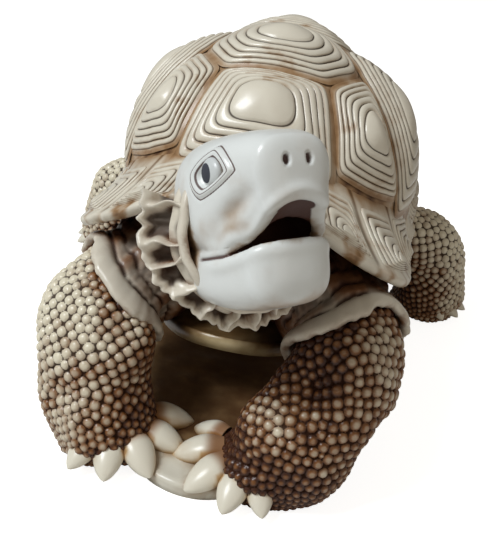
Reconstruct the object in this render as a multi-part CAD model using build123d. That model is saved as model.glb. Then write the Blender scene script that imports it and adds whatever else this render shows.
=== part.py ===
from build123d import *
from math import atan2, cos, degrees, radians, sin, sqrt
import os

# Ornamental tortoise, cast in sections that are pinned and glued together.
# Millimetres. The animal faces -Y, its left side is +X, and it stands on z = 0.

# Shell dome: a ball, narrowed from side to side
shell_y = 3.5
shell_z = 28.5
shell_radius = 28.2
shell_half_width = 25.8
shell_wall = 2.4
narrowing = shell_half_width / shell_radius

# Scute corners: distance from the middle plane, and angle forwards from the top round the cross axis
seam_front = (12.5, 64.0)
vertebral_seams = ((8.4, 28.0), (8.3, -4.0), (8.0, -34.0), (6.5, -62.0))
vertebral_corners = ((12.8, 12.0), (12.5, -19.0), (11.0, -48.0), (9.0, -80.0))
costal_feet = ((22.4, 72.0), (25.3, -20.0), (21.6, -70.0))
costal_edge_front = ((20.6, 68.0), (17.4, 63.0))
costal_edge_middle = (25.0, 60.0)
costal_edge_third = (24.6, -68.0)
costal_edge_rear = (16.0, -74.0)
vertebral_bosses = (41.0, 12.0, -19.0, -48.0, -72.0)
costal_bosses = ((15.9, 40.0), (19.5, 3.0), (19.0, -35.0), (14.0, -62.0))

# Growth rings of the scutes, each a step up from the last
ring_count = 4
ring_step = 0.42
ring_first_share = 0.93
ring_boss_share = 0.50

# Flared rim of the shell, arched over the neck and the tail
rim_half_width = 26.6
rim_rear_flare = 9.0
rim_front_reach = 31.0
rim_rear_reach = 34.5
rim_front_squareness = 6.0
rim_rear_squareness = 3.4
rim_low = 22.0
rim_front_rise = 18.5
rim_front_power = 11.6
rim_rear_rise = 8.0
rim_rear_power = 4.0
rim_thickness = 1.9
rim_root_sink = 0.9
rim_step_angle = 15
seam_low = 28.8
seam_front_rise = 14.8
seam_front_power = 6.0
seam_rear_rise = 4.5
seam_rear_power = 8.0
marginal_bearings = (0, 19, 38, 57, 77, 98, 119, 140, 160, 180)
marginal_groove_width = 0.7
marginal_groove_depth = 0.5
marginal_groove_start = 0.35

# Lower edge of the dome, as places along the animal and heights
shell_edge = ((-30.0, 33.5), (-12.0, 27.0), (0.0, 23.0), (14.0, 23.2), (21.0, 25.2), (32.0, 25.6))
arch_base = 21.0
neck_arch_half_width = 13.5
neck_arch_top = 38.5
tail_arch_half_width = 8.0
tail_arch_top = 31.5

# Body core and belly shield
trunk_front_y = -15.0
trunk_rear_y = 29.0
belly_z = 12.5
plastron_thickness = 2.4
plastron_half_width = 17.0
plastron_lip_y = -25.0
plastron_lip_rise = 2.2
plastron_bend_y = -10.0
plastron_rear_y = 28.0

# Ground slab
base_thickness = 2.2
base_front_y = -44.6
base_front_radius = 11.0
base_rear_radius = 12.0
base_rear_half = 13.0
base_rear_y = 22.0
base_edge_round = 0.9

# Fits
glue_gap = 0.1
skin_gap = 0.25
sole_gap = 0.2
dowel_radius = 1.5
dowel_half_length = 4.0
dowel_end_gap = 0.3

# Front legs: shoulder seat, bends and foot, all given for the animal's left side
left_front_bends = ((10.5, -12.5, 20.0), (21.5, -24.0, 23.4), (22.5, -39.5, 19.0), (8.0, -36.3, -2.0))
right_front_bends = ((10.5, -12.5, 20.0), (21.5, -22.0, 22.5), (21.0, -37.5, 16.0), (13.2, -35.5, -2.0))
front_leg_radii = (5.4, 6.5, 7.0, 7.9, 8.2, 7.8, 6.8)

# Hind legs
hind_bends = ((11.0, 19.0, 17.0), (25.0, 19.5, 19.5), (38.0, 22.0, 20.5), (33.5, 25.0, -2.0))
hind_leg_radii = (3.8, 4.6, 5.6, 6.3, 6.4, 6.6, 6.8)

# Skin folds round the front legs, as shares of the leg's length
cuff_start = 0.20
cuff_end = 0.36
cuff_thickness = 1.1

# Neck and its skin
neck_root = (0.0, -15.0, 24.5)
neck_root_bend = (0.0, -27.0, 24.5)
neck_rise = (0.22, -0.45, 0.86)
neck_bend_length = 8.0
neck_radii = (6.2, 5.8, 5.2, 4.8)
hood_half_width = 10.1
hood_half_length = 10.4
hood_half_height = 11.2
hood_drop = 3.0
hood_thickness = 0.9
hood_front_edge = 0.5
hood_top_edge = 2.5
hood_notches = 6
hood_notch_radius = 1.1
hood_notch_first = -160.0
hood_notch_last = -20.0

# Head, built about its own centre and then turned to its left and lifted
head_centre = (2.9, -38.4, 43.1)
head_turn = 38.0
head_lift = 25.0
neck_seat = (0.0, 3.0, -3.0)

# Sections of the upper head and of the jaw: distance ahead, width, height, middle height
skull_sections = (
    (-7.6, 13.0, 12.0, 0.0),
    (-3.3, 16.4, 14.6, 0.6),
    (1.5, 16.9, 14.8, 0.7),
    (6.3, 14.8, 12.8, 1.7),
    (10.0, 11.6, 9.2, 3.2),
    (11.8, 8.2, 6.8, 3.5),
)
jaw_sections = (
    (-6.7, 12.0, 7.6, -4.8),
    (-2.0, 15.8, 8.8, -7.2),
    (3.9, 15.2, 7.6, -8.0),
    (8.0, 12.4, 6.8, -8.1),
    (10.0, 8.6, 5.4, -8.0),
)
section_round = 0.38
mouth_corner = (-0.5, -6.2)
mouth_reach = -15.0
upper_lip_height = 1.0
lower_lip_height = -3.9
mouth_half_width = 12.0
palate_place = (0.0, -6.0, -4.0)
palate_sizes = (5.0, 6.5, 2.6)
eye_radius = 1.6
eye_place = (7.1, -3.4, 3.9)
nostril_radius = 0.5
nostril_place = (1.4, -11.8, 5.1)
nostril_tilt = 70.0
nostril_depth = 3.0

# Claws, set round a foot at bearings from straight ahead, outwards positive
claw_length = 4.6
claw_root_radius = 1.7
claw_waist_share = 0.6
claw_waist_radius = 1.46
claw_sink = 1.4
claw_height = 4.5
claw_droop = 16.0
front_claw_bearings = (18.0, -10.0, -42.0, -78.0, -114.0)
hind_claw_bearings = (30.0, 55.0, 80.0, 105.0)
front_claw_circle = 6.7
hind_claw_circle = 6.2

# Tail: its seat as a share of the shell's radius behind the centre, then its reach and height at each bend
tail_seat_share = 0.656
tail_reaches = (0.0, 8.0, 14.0, 17.0)
tail_heights = (18.0, 18.0, 13.0, 6.0)
tail_radii = (3.9, 3.5, 3.0, 2.4, 1.8, 1.3, 0.8)

shell_centre = Vector(0, shell_y, shell_z)
far_away = 200.0


def write(node, shape):
    """Writes one piece, or one group of like pieces, to its own file."""
    export_step(shape, f"parts/{node}.step")


def mirrored(point):
    """The same place on the animal's right side."""
    return (-point[0], *point[1:])


def other_side(shape):
    """The same piece on the animal's right."""
    return mirror(shape, about=Plane.YZ)


def dome(growth):
    """The shell's dome before it is narrowed, grown outwards by a distance."""
    return Pos(0, shell_y, shell_z) * Rot(X=90) * Rot(Z=-90) * Sphere(shell_radius + growth)


def narrowed(shape):
    """Draws a shape in from side to side by the shell's narrowing."""
    return scale(shape, by=(narrowing, 1, 1))


def on_dome(x, angle):
    """A point of the wide dome, measured from the shell's centre."""
    share = sqrt(1 - (x / shell_half_width) ** 2)
    ahead = shell_radius * share * sin(radians(angle))
    return Vector(x / narrowing, -ahead, shell_radius * share * cos(radians(angle)))


def faceted(near, far):
    """Solid between two outlines with the same number of corners."""
    count = len(near)
    faces = [Face(Wire.make_polygon(near, close=True)), Face(Wire.make_polygon(far, close=True))]
    for i in range(count):
        j = (i + 1) % count
        faces.append(Face(Wire.make_polygon([near[i], near[j], far[j], far[i]], close=True)))
    return Solid(Shell(faces))


def scute_block(corners, boss, share, depth):
    """Block through the dome with a scute's outline, drawn in towards its boss by a share."""
    top = on_dome(*boss)
    near = []
    far = []
    for corner in corners:
        point = top + (on_dome(*corner) - top) * share
        point = point * (top.length**2 / point.dot(top))
        near.append(shell_centre + point * (1 - depth))
        far.append(shell_centre + point * (1 + depth))
    return faceted(near, far)


def vertebral_outlines():
    """Outline and boss of each scute along the back."""
    ends = [seam_front, *vertebral_seams, vertebral_corners[-1]]
    outlines = []
    for i, boss_angle in enumerate(vertebral_bosses):
        left = [ends[i], ends[i + 1]]
        if 0 < i < len(vertebral_bosses) - 1:
            left.insert(1, vertebral_corners[i - 1])
        right = [mirrored(corner) for corner in reversed(left)]
        outlines.append((left + right, (0, boss_angle)))
    return outlines


def costal_outlines():
    """Outline and boss of each scute on the left flank."""
    seams = vertebral_seams
    corners = vertebral_corners
    outlines = [
        [seams[0], corners[0], costal_feet[0], *costal_edge_front, seam_front],
        [corners[0], seams[1], corners[1], costal_feet[1], costal_edge_middle, costal_feet[0]],
        [corners[1], seams[2], corners[2], costal_feet[2], costal_edge_third, costal_feet[1]],
        [corners[2], seams[3], corners[3], costal_edge_rear, costal_feet[2]],
    ]
    return list(zip(outlines, costal_bosses))


def growth_rings():
    """The stepped terraces of every scute."""
    scutes = vertebral_outlines()
    for corners, boss in costal_outlines():
        scutes.append((corners, boss))
        scutes.append(([mirrored(point) for point in corners], mirrored(boss)))
    depth = (2 * shell_wall + ring_count * ring_step) / shell_radius
    terraces = []
    for ring in range(ring_count):
        share = ring_first_share + (ring_boss_share - ring_first_share) * ring / (ring_count - 1)
        surface = dome((ring + 1) * ring_step)
        for corners, boss in scutes:
            terraces.append(scute_block(corners, boss, share, depth) & surface)
    return terraces


def rim_reach(bearing):
    """Plan distance from the shell's centre to the wide rim's edge, a squared oval."""
    across = abs(sin(radians(bearing)))
    along = cos(radians(bearing))
    if along > 0:
        half_width = rim_half_width / narrowing
        reach = rim_front_reach
        power = rim_front_squareness
    else:
        half_width = (rim_half_width + rim_rear_flare * along**2) / narrowing
        reach = rim_rear_reach
        power = rim_rear_squareness
    return ((across / half_width) ** power + (abs(along) / reach) ** power) ** (-1 / power)


def rim_points(bearing):
    """The rim's root on the dome and its outer edge, as distances out and up."""
    ahead = abs(cos(radians(bearing / 2)))
    behind = abs(sin(radians(bearing / 2)))
    seam_height = seam_low + seam_front_rise * ahead**seam_front_power + seam_rear_rise * behind**seam_rear_power
    edge_height = rim_low + rim_front_rise * ahead**rim_front_power + rim_rear_rise * behind**rim_rear_power
    dome_reach = sqrt(shell_radius**2 - (seam_height - shell_z) ** 2)
    return Vector(dome_reach - rim_root_sink, seam_height), Vector(rim_reach(bearing), edge_height)


def placed(bearing, point):
    """Turns distances out and up, at a bearing from the front, into a place."""
    turn = radians(bearing)
    return Vector(point.X * sin(turn), shell_y - point.X * cos(turn), point.Y)


def rim_face(bearing, start, end, lower, upper):
    """Section of the rim between two shares of its width and two heights over its top."""
    root, edge = rim_points(bearing)
    across = edge - root
    rise = Vector(-across.Y, across.X).normalized()
    if rise.Y < 0:
        rise = rise * -1
    corners = []
    for share, height in ((start, lower), (end, lower), (end, upper), (start, upper)):
        corners.append(placed(bearing, root + across * share + rise * height))
    return Face(Wire.make_polygon(corners, close=True))


def rim_half(first_bearing):
    """Half of the rim, lofted through sections from one flank to the other."""
    count = 180 // rim_step_angle
    bearings = [first_bearing + rim_step_angle * i for i in range(count + 1)]
    return loft([rim_face(bearing, 0, 1, -rim_thickness, 0) for bearing in bearings])


def marginal_grooves():
    """Cuts across the rim's top between neighbouring marginal scutes, on both sides."""
    cuts = []
    for bearing in sorted({*marginal_bearings, *[-value for value in marginal_bearings]}):
        section = rim_face(bearing, marginal_groove_start, 1.1, -marginal_groove_depth, rim_thickness)
        cuts.append(extrude(section, marginal_groove_width / 2, both=True))
    return cuts


def below_shell():
    """Everything under the dome's lower edge, which sweeps up towards the front."""
    front, rear = shell_edge[0], shell_edge[-1]
    edge = Spline(shell_edge)
    rest = Polyline(rear, (far_away, rear[1]), (far_away, -far_away), (front[0], -far_away), front)
    return extrude(Plane.YZ * make_face([edge, rest]), far_away, both=True)


def arch(half_width, top, depth):
    """Arched opening through the shell, cut from its middle towards one end."""
    opening = Ellipse(half_width / narrowing, top - arch_base)
    return extrude(Pos(0, shell_y, arch_base) * (Plane.XZ * opening), depth)


def carapace():
    """Hollow ringed dome with a flared rim, open below and arched over the neck and the tail."""
    shell = dome(0) + growth_rings()
    shell -= below_shell()
    shell -= arch(neck_arch_half_width, neck_arch_top, far_away)
    shell -= arch(tail_arch_half_width, tail_arch_top, -far_away)
    shell += rim_half(-90)
    shell += rim_half(90)
    shell -= dome(-shell_wall)
    shell -= arch(tail_arch_half_width, tail_arch_top, -shell_radius)
    shell -= marginal_grooves()
    return narrowed(shell)


def limb(path, radii, growth=0.0, start=0.0, end=1.0, count=7):
    """Round limb lofted along a curved path, grown outwards by a distance."""
    side = (path @ 0.3 - path @ 0).cross(path @ 1 - path @ 0)
    sections = []
    for i in range(count):
        place = start + (end - start) * i / (count - 1)
        slot = place * (len(radii) - 1)
        low = min(int(slot), len(radii) - 2)
        radius = radii[low] + (radii[low + 1] - radii[low]) * (slot - low) + growth
        plane = Plane(origin=path @ place, x_dir=side, z_dir=path % place)
        sections.append(plane * Circle(radius))
    return loft(sections)


def dowel(path, end=0, length_gap=0.0, radius_gap=0.0):
    """Locating dowel across the seat at one end of a path, or its hole."""
    plane = Plane(origin=path @ end, z_dir=path % end)
    return plane * Cylinder(dowel_radius + radius_gap, 2 * (dowel_half_length + length_gap))


def dowel_hole(path, end=0):
    """Hole for a dowel, with its gaps."""
    return dowel(path, end, dowel_end_gap, glue_gap)


def above(height):
    """Everything over a height."""
    return Pos(0, 0, height + far_away / 2) * Box(far_away, far_away, far_away)


def in_front_of(y):
    """Everything ahead of a place along the animal."""
    return Pos(0, y - far_away / 2, 0) * Box(far_away, far_away, far_away)


def base_outline(growth):
    """Plan of the ground slab: a narrow rounded front and a wide rounded rear."""
    front = Pos(0, base_front_y + base_front_radius) * Circle(base_front_radius + growth)
    left = Pos(base_rear_half, base_rear_y) * Circle(base_rear_radius + growth)
    right = Pos(-base_rear_half, base_rear_y) * Circle(base_rear_radius + growth)
    return make_hull([*front.edges(), *left.edges(), *right.edges()])


def base_plate():
    """Ground slab with a rounded upper edge."""
    slab = extrude(base_outline(0), base_thickness)
    return fillet(slab.faces().sort_by(Axis.Z)[-1].edges(), base_edge_round)


def plastron_side(drop):
    """Everything below a surface that follows the belly shield's top, some way under it."""
    level = belly_z - drop
    lip = (plastron_lip_y, level + plastron_lip_rise)
    ahead = (plastron_lip_y - plastron_lip_rise, level + 1.4 * plastron_lip_rise)
    bend = (plastron_bend_y, level)
    rise = Spline([ahead, lip, bend], tangents=[(1, -0.2), (1, 0)])
    rest = Polyline(bend, (far_away, level), (far_away, -far_away), (ahead[0], -far_away), ahead)
    return extrude(Plane.YZ * make_face([rise, rest]), far_away / 2, both=True)


def plastron():
    """Belly shield with an upturned front lip."""
    length = plastron_rear_y - plastron_lip_y
    middle = (plastron_rear_y + plastron_lip_y) / 2
    outline = Pos(0, middle) * Ellipse(length / 2, plastron_half_width, rotation=90)
    column = extrude(outline, far_away / 4)
    return (column & plastron_side(0)) - plastron_side(plastron_thickness)


def trunk():
    """Body core that fills the shell and carries the limbs."""
    core = dome(-shell_wall - glue_gap)
    length = trunk_rear_y - trunk_front_y
    core &= Pos(0, trunk_front_y + length / 2, 0) * Box(far_away, length, far_away)
    return narrowed(core - plastron_side(-glue_gap))


def head_loft(sections, growth):
    """Rounded sections along the head, joined and grown outwards by a distance."""
    faces = []
    for i, (ahead, width, height, middle) in enumerate(sections):
        if i == 0:
            ahead -= growth
        if i == len(sections) - 1:
            ahead += growth
        plane = Plane(origin=(0, -ahead, middle), x_dir=(1, 0, 0), z_dir=(0, -1, 0))
        corner = section_round * min(width, height)
        faces.append(plane * RectangleRounded(width + 2 * growth, height + 2 * growth, corner + growth))
    return loft(faces)


def mouth():
    """Open mouth: a wedge between the lips with an arched, hollow inside."""
    wedge = Polyline(mouth_corner, (mouth_reach, upper_lip_height), (mouth_reach, lower_lip_height), close=True)
    gap = extrude(Plane.YZ * make_face(wedge), mouth_half_width, both=True)
    return gap + Pos(*palate_place) * scale(Sphere(1), by=palate_sizes)


def eye(side, growth=0.0):
    """Eye bead let into the cheek."""
    x, y, z = eye_place
    return Pos(side * x, y, z) * Sphere(eye_radius + growth)


def nostril(side):
    """Small hole in the front of the snout."""
    x, y, z = nostril_place
    return Pos(side * x, y, z) * Rot(X=nostril_tilt) * Cylinder(nostril_radius, nostril_depth)


def head():
    """Head with its jaw, mouth, nostrils and eye sockets, about its own centre."""
    shape = head_loft(skull_sections, 0) + head_loft(jaw_sections, 0)
    shape -= mouth()
    for side in (-1, 1):
        shape -= eye(side, glue_gap)
        shape -= nostril(side)
    return shape


def neck_skin(neck_room):
    """Thin hood of skin cupped round the back and underside of the head, with a torn edge."""
    sizes = (hood_half_width, hood_half_length, hood_half_height)
    outer = scale(Sphere(1), by=sizes)
    inner = scale(Sphere(1), by=tuple(size - hood_thickness for size in sizes))
    cup = Pos(0, 0, -hood_drop) * (outer - inner)
    cup &= Pos(0, far_away / 2 + hood_front_edge, 0) * Box(far_away, far_away, far_away)
    cup &= Pos(0, 0, hood_top_edge - far_away / 2) * Box(far_away, far_away, far_away)
    for i in range(hood_notches):
        turn = radians(hood_notch_first + (hood_notch_last - hood_notch_first) * i / (hood_notches - 1))
        place = (hood_half_width * cos(turn), hood_front_edge, hood_half_height * sin(turn) - hood_drop)
        cup -= Pos(*place) * Sphere(hood_notch_radius)
    cup -= [head_loft(skull_sections, skin_gap), head_loft(jaw_sections, skin_gap)]
    return (head_turned * cup) - neck_room


def claw():
    """Blunt horn pointing along +X from its root face."""
    root = (0, claw_root_radius)
    waist = (claw_length * claw_waist_share, claw_waist_radius)
    tip = (claw_length, 0)
    side = Spline([root, waist, tip], tangents=[(1, 0), (0, -1)])
    return revolve(make_face([Line((0, 0), root), side, Line(tip, (0, 0))]), axis=Axis.X)


def claw_places(foot, bearings, circle):
    """Places of a left foot's claws, fanned round it."""
    places = []
    for bearing in bearings:
        turn = radians(bearing)
        out = Vector(sin(turn), -cos(turn))
        root = Vector(foot[0], foot[1]) + out * (circle - claw_sink)
        heading = degrees(atan2(out.Y, out.X))
        places.append(Pos(root.X, root.Y, claw_height) * Rot(Z=heading) * Rot(Y=claw_droop))
    return places


def claw_sockets(places):
    """Round flat-bottomed seats for a foot's claws."""
    length = 2 * claw_length
    socket = Pos(length / 2, 0, 0) * Rot(Y=90) * Cylinder(claw_root_radius + glue_gap, length)
    return [place * socket for place in places]


def leg_set(bends, radii, bearings, circle):
    """One left leg with its claws, its dowel and the room that it needs in the body."""
    path = Bezier(*bends)
    places = claw_places(bends[-1], bearings, circle)
    leg = limb(path, radii) & above(sole_gap)
    leg -= extrude(base_outline(glue_gap), base_thickness)
    leg -= claw_sockets(places)
    leg -= dowel_hole(path)
    claws = Compound([place * claw() for place in places])
    room = limb(path, radii, skin_gap) + dowel_hole(path)
    return leg, claws, dowel(path), room


def shoulder_skin(bends, radii):
    """Cuff of skin round a left front leg where it leaves the shell."""
    path = Bezier(*bends)
    cuff = limb(path, radii, skin_gap + cuff_thickness, cuff_start, cuff_end)
    cuff -= limb(path, radii, skin_gap)
    return cuff & in_front_of(trunk_front_y - glue_gap)


os.makedirs("parts", exist_ok=True)

head_turned = Pos(*head_centre) * Rot(Z=head_turn) * Rot(X=-head_lift)
head_seat = (head_turned * Pos(*neck_seat)).position
neck_path = Bezier(neck_root, neck_root_bend, head_seat - Vector(*neck_rise) * neck_bend_length, head_seat)
neck_room = limb(neck_path, neck_radii, glue_gap)
tail_seat_y = shell_y + tail_seat_share * shell_radius
tail_path = Bezier(*[(0, tail_seat_y + reach, height) for reach, height in zip(tail_reaches, tail_heights)])

left_front = leg_set(left_front_bends, front_leg_radii, front_claw_bearings, front_claw_circle)
right_front = leg_set(right_front_bends, front_leg_radii, front_claw_bearings, front_claw_circle)
hind = leg_set(hind_bends, hind_leg_radii, hind_claw_bearings, hind_claw_circle)
legs = {
    "front_left": left_front,
    "front_right": [other_side(piece) for piece in right_front],
    "hind_left": hind,
    "hind_right": [other_side(piece) for piece in hind],
}

body = trunk() - dowel_hole(neck_path)
body -= [limb(tail_path, tail_radii, skin_gap), dowel_hole(tail_path)]
belly = plastron()
dowels = []
for name, (leg, claws, pin, room) in legs.items():
    write(name + "_leg", leg)
    write(name + "_claws", claws)
    dowels.append(pin)
    body -= room
    belly -= room
write("leg_dowels", Compound(dowels))
write("trunk", body)
write("plastron", belly)
write("left_shoulder_skin", shoulder_skin(left_front_bends, front_leg_radii))
write("right_shoulder_skin", other_side(shoulder_skin(right_front_bends, front_leg_radii)))

write("neck", limb(neck_path, neck_radii) - [dowel_hole(neck_path), dowel_hole(neck_path, 1)])
write("neck_dowels", Compound([dowel(neck_path), dowel(neck_path, 1)]))
write("neck_skin", neck_skin(neck_room))
write("head", (head_turned * head()) - neck_room - dowel_hole(neck_path, 1))
write("left_eye", head_turned * eye(1))
write("right_eye", head_turned * eye(-1))
write("tail", limb(tail_path, tail_radii) - dowel_hole(tail_path))
write("tail_dowel", dowel(tail_path))
write("base_plate", base_plate())
write("carapace", carapace())
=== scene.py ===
from contextlib import contextmanager
from itertools import product
from math import atan2, cos, exp, pi, radians, sin, sqrt
from random import Random

import bmesh
import bpy
from mathutils import Matrix, Vector, geometry, kdtree, noise
from mathutils.bvhtree import BVHTree


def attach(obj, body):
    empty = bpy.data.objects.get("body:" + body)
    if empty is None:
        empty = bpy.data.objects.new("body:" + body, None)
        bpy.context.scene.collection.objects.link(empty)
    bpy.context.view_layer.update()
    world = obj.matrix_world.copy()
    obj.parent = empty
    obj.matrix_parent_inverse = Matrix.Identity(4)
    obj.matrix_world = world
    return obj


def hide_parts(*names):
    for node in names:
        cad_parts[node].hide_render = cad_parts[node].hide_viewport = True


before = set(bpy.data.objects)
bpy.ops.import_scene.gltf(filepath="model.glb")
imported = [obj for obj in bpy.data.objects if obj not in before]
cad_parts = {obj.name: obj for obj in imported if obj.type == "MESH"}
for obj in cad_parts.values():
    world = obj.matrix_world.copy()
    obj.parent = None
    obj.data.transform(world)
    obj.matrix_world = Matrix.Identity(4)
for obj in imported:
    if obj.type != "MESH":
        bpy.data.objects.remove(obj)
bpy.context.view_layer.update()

# All shapes are worked out in millimetres, in the frame of the solids, and scaled when a piece is made.
MM = 0.001

# Pieces in the order of making
made = []

# Shell dome
SHELL_CENTRE = Vector((0, 3.5, 28.5))
SHELL_RADIUS = 28.2
SHELL_WALL = 2.4
NARROWING = 25.8 / SHELL_RADIUS

# Corners and bosses of the scutes on the dome: x, then degrees forwards from the top
SEAM_FRONT = (12.5, 64.0)
VERTEBRAL_SEAMS = ((8.4, 28.0), (8.3, -4.0), (8.0, -34.0), (6.5, -62.0))
VERTEBRAL_CORNERS = ((12.8, 12.0), (12.5, -19.0), (11.0, -48.0), (9.0, -80.0))
COSTAL_FEET = ((22.4, 72.0), (25.3, -20.0), (21.6, -70.0))
COSTAL_EDGE_FRONT = ((20.6, 68.0), (17.4, 63.0))
COSTAL_EDGE_MIDDLE = (25.0, 60.0)
COSTAL_EDGE_THIRD = (24.6, -68.0)
COSTAL_EDGE_REAR = (16.0, -74.0)
VERTEBRAL_BOSSES = (41.0, 12.0, -19.0, -48.0, -72.0)
COSTAL_BOSSES = ((15.9, 40.0), (19.5, 3.0), (19.0, -35.0), (14.0, -62.0))

# Flared rim, and the bearings of the seams between its scutes
RIM_HALF_WIDTH = 26.6
RIM_REAR_FLARE = 9.0
RIM_FRONT_REACH = 31.0
RIM_REAR_REACH = 34.5
RIM_FRONT_SQUARENESS = 6.0
RIM_REAR_SQUARENESS = 3.4
RIM_THICKNESS = 2.1
RIM_ROOT_HEIGHT = 28.8
RIM_EDGE_HEIGHT = 22.0
RIM_SAG = 0.5
DOME_RINGS = 5
MARGINAL_RINGS = 5
OUTLINE_SPACING = 0.5
MARGINAL_BEARINGS = (0, 19, 38, 57, 77, 98, 119, 140, 160, 180)

# Legs and tail: the bends of their centre lines, the radii along them, the rows and columns of their skins
LEGS = {
    "front_left": ((10.5, -12.5, 20.0), (21.5, -24.0, 23.4), (22.5, -39.5, 19.0), (8.0, -36.3, -2.0)),
    "front_right": ((-10.5, -12.5, 20.0), (-21.5, -22.0, 22.5), (-21.0, -37.5, 16.0), (-13.2, -35.5, -2.0)),
    "hind_left": ((11.0, 19.0, 17.0), (25.0, 19.5, 19.5), (38.0, 22.0, 20.5), (33.5, 25.0, -2.0)),
    "hind_right": ((-11.0, 19.0, 17.0), (-25.0, 19.5, 19.5), (-38.0, 22.0, 20.5), (-33.5, 25.0, -2.0)),
}
LEG_RADII = {"front": (5.4, 6.5, 7.0, 7.9, 8.2, 7.8, 6.8), "hind": (3.8, 4.6, 5.6, 6.3, 6.4, 6.6, 6.8)}
LEG_GRIDS = {"front": (250, 300), "hind": (210, 230)}
CLAW_ROOT_HEIGHT = 4.3
TAIL = ((0, 22.0, 18.0), (0, 30.0, 18.0), (0, 36.0, 13.0), (0, 39.0, 6.0))
TAIL_RADII = (3.9, 3.5, 3.0, 2.4, 1.8, 1.3, 0.8)
TAIL_GRID = (90, 110)
SOLE_HEIGHT = 0.2
PEBBLE_RADIUS = 0.77
TAIL_PEBBLE_RADIUS = 0.5
PEBBLE_RISE = 0.58

# Claws: their bearings round the foot, the radius of the circle of roots, length, width
CLAWS = {
    "front": ((18.0, -10.0, -42.0, -78.0, -114.0), 6.9, 6.8, 2.1),
    "hind": ((30.0, 55.0, 80.0, 105.0), 6.2, 5.4, 1.6),
}

# Swellings and creases of the legs: centre, radius, height
BULGES = {
    "front_left": [
        ((21, -36, 25), 5.0, 1.0),
        ((8, -41, 13), 5.5, 2.8),
        ((14, -40, 20), 3.2, -1.9),
        ((23.5, -36, 10), 3.8, -2.6),
        ((18, -41, 5), 3.5, 0.9),
    ],
    "front_right": [
        ((-25, -30, 19), 5.0, 1.0),
        ((-26, -33, 9.5), 3.4, -2.4),
        ((-20, -41, 11), 3.0, -1.1),
        ((-11.5, -34, 17), 5.0, 1.6),
        ((-17, -42, 6), 3.5, 0.8),
    ],
    "hind_left": [((36, 20, 18), 5.0, 0.8)],
    "hind_right": [((-36, 20, 18), 5.0, 0.8)],
}

# How brown each leg is all over: stain together with painted shadow, darkest on front_left, under the head
BROWN_AND_SHADE = {"front_left": 0.52, "front_right": 0.16, "hind_left": 0.14, "hind_right": 0.14}

# Shoulder folds: leg, its shares where the fold starts and ends outside and inside, seed of the folds
SHOULDER_FOLDS = {
    "left": ("front_left", 0.1, 0.36, 0.5, 3),
    "right": ("front_right", 0.1, 0.30, 0.52, 8),
}

# Ground slab: the circles that its outline is drawn round, as x, y and radius
SLAB_CIRCLES = ((0, -33.6, 11.0), (13.0, 22.0, 12.0), (-13.0, 22.0, 12.0))
SLAB_CENTRE = Vector((0, -8.0))
SLAB_THICKNESS = 2.2
SLAB_EDGE_RADIUS = 0.7

# Head, shaped about its own centre with its face towards -Y, then turned to its left and lifted
HEAD_CENTRE = (2.9, -38.4, 43.1)
HEAD_TURN = 38.0
HEAD_LIFT = 25.0
HEAD_PLACE = (
    Matrix.Translation(HEAD_CENTRE)
    @ Matrix.Rotation(radians(HEAD_TURN), 4, "Z")
    @ Matrix.Rotation(radians(-HEAD_LIFT), 4, "X")
)
EYE = Vector((6.45, -4.6, 4.35))
NOSTRIL = Vector((1.4, -11.9, 5.1))


def ease(low, high, value):
    """0 below low, 1 above high, and a soft step between."""
    share = min(max((value - low) / (high - low), 0.0), 1.0)
    return share * share * (3 - 2 * share)


def blend(first, second, share):
    """Value between two values."""
    return first + (second - first) * share


def shares(count):
    """Even steps from 0 to 1."""
    return [i / count for i in range(count + 1)]


def turns(count):
    """Even steps round a full turn."""
    return [2 * pi * i / count for i in range(count)]


def along(values, share):
    """Value at a share of the way along an even row of values."""
    slot = min(max(share, 0.0), 1.0) * (len(values) - 1)
    low = min(int(slot), len(values) - 2)
    return blend(values[low], values[low + 1], slot - low)


def along_curve(points, place):
    """Height of a smooth curve through (place, height) points."""
    if place <= points[0][0]:
        return points[0][1]
    last = len(points) - 1
    for i in range(last):
        (a, low), (b, high) = points[i], points[i + 1]
        if place <= b:
            before, after = points[max(i - 1, 0)], points[min(i + 2, last)]
            leave = (high - before[1]) / (b - before[0]) * (b - a)
            arrive = (after[1] - low) / (after[0] - a) * (b - a)
            t = (place - a) / (b - a)
            bend = (leave * (1 - t) - arrive * t) * t * (1 - t)
            return blend(low, high, t * t * (3 - 2 * t)) + bend
    return points[-1][1]


def peak(value, middle, width):
    """Bell curve, 1 at its middle."""
    return exp(-(((value - middle) / width) ** 2))


def noise_at(x, y, z):
    """Smooth random value at a place."""
    return noise.noise(Vector((x, y, z)))


def sides(corners):
    """The two ends of each side of a closed outline."""
    return zip(corners, corners[1:] + corners[:1])


def turns_left(corners):
    """Whether a flat outline runs round to the left."""
    return sum(near.cross(far) for near, far in sides(corners)) > 0


def mirrored(point):
    """The same place on the animal's right side."""
    return (-point[0], *point[1:])


class Clay:
    """Points, faces and stain masks of a piece while it is being shaped."""

    def __init__(self):
        self.points = []
        self.faces = []
        self.masks = {}

    def add_rows(self, rows, closed=True, **masks):
        """Adds a skin through rows of points; each mask holds a row of values for every row of points."""
        first = len(self.points)
        count = len(rows[0])
        for row in rows:
            self.points.extend(row)
        for name, values in masks.items():
            for row in values:
                self.masks.setdefault(name, []).extend(row)
        for i in range(len(rows) - 1):
            for j in range(count if closed else count - 1):
                near = first + i * count + j
                beside = first + i * count + (j + 1) % count
                self.faces.append((near, beside, beside + count, near + count))

    def add_skin(self, steps, columns, place, closed=True, turned=False):
        """Adds a skin and returns the clay; place gives the point and its masks at each step and column."""
        rows = []
        masks = {}
        for step in steps:
            found = [place(step, column) for column in columns]
            if turned:
                found.reverse()
            rows.append([point for point, stains in found])
            for name in found[0][1]:
                masks.setdefault(name, []).append([stains[name] for point, stains in found])
        self.add_rows(rows, closed, **masks)
        return self


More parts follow.
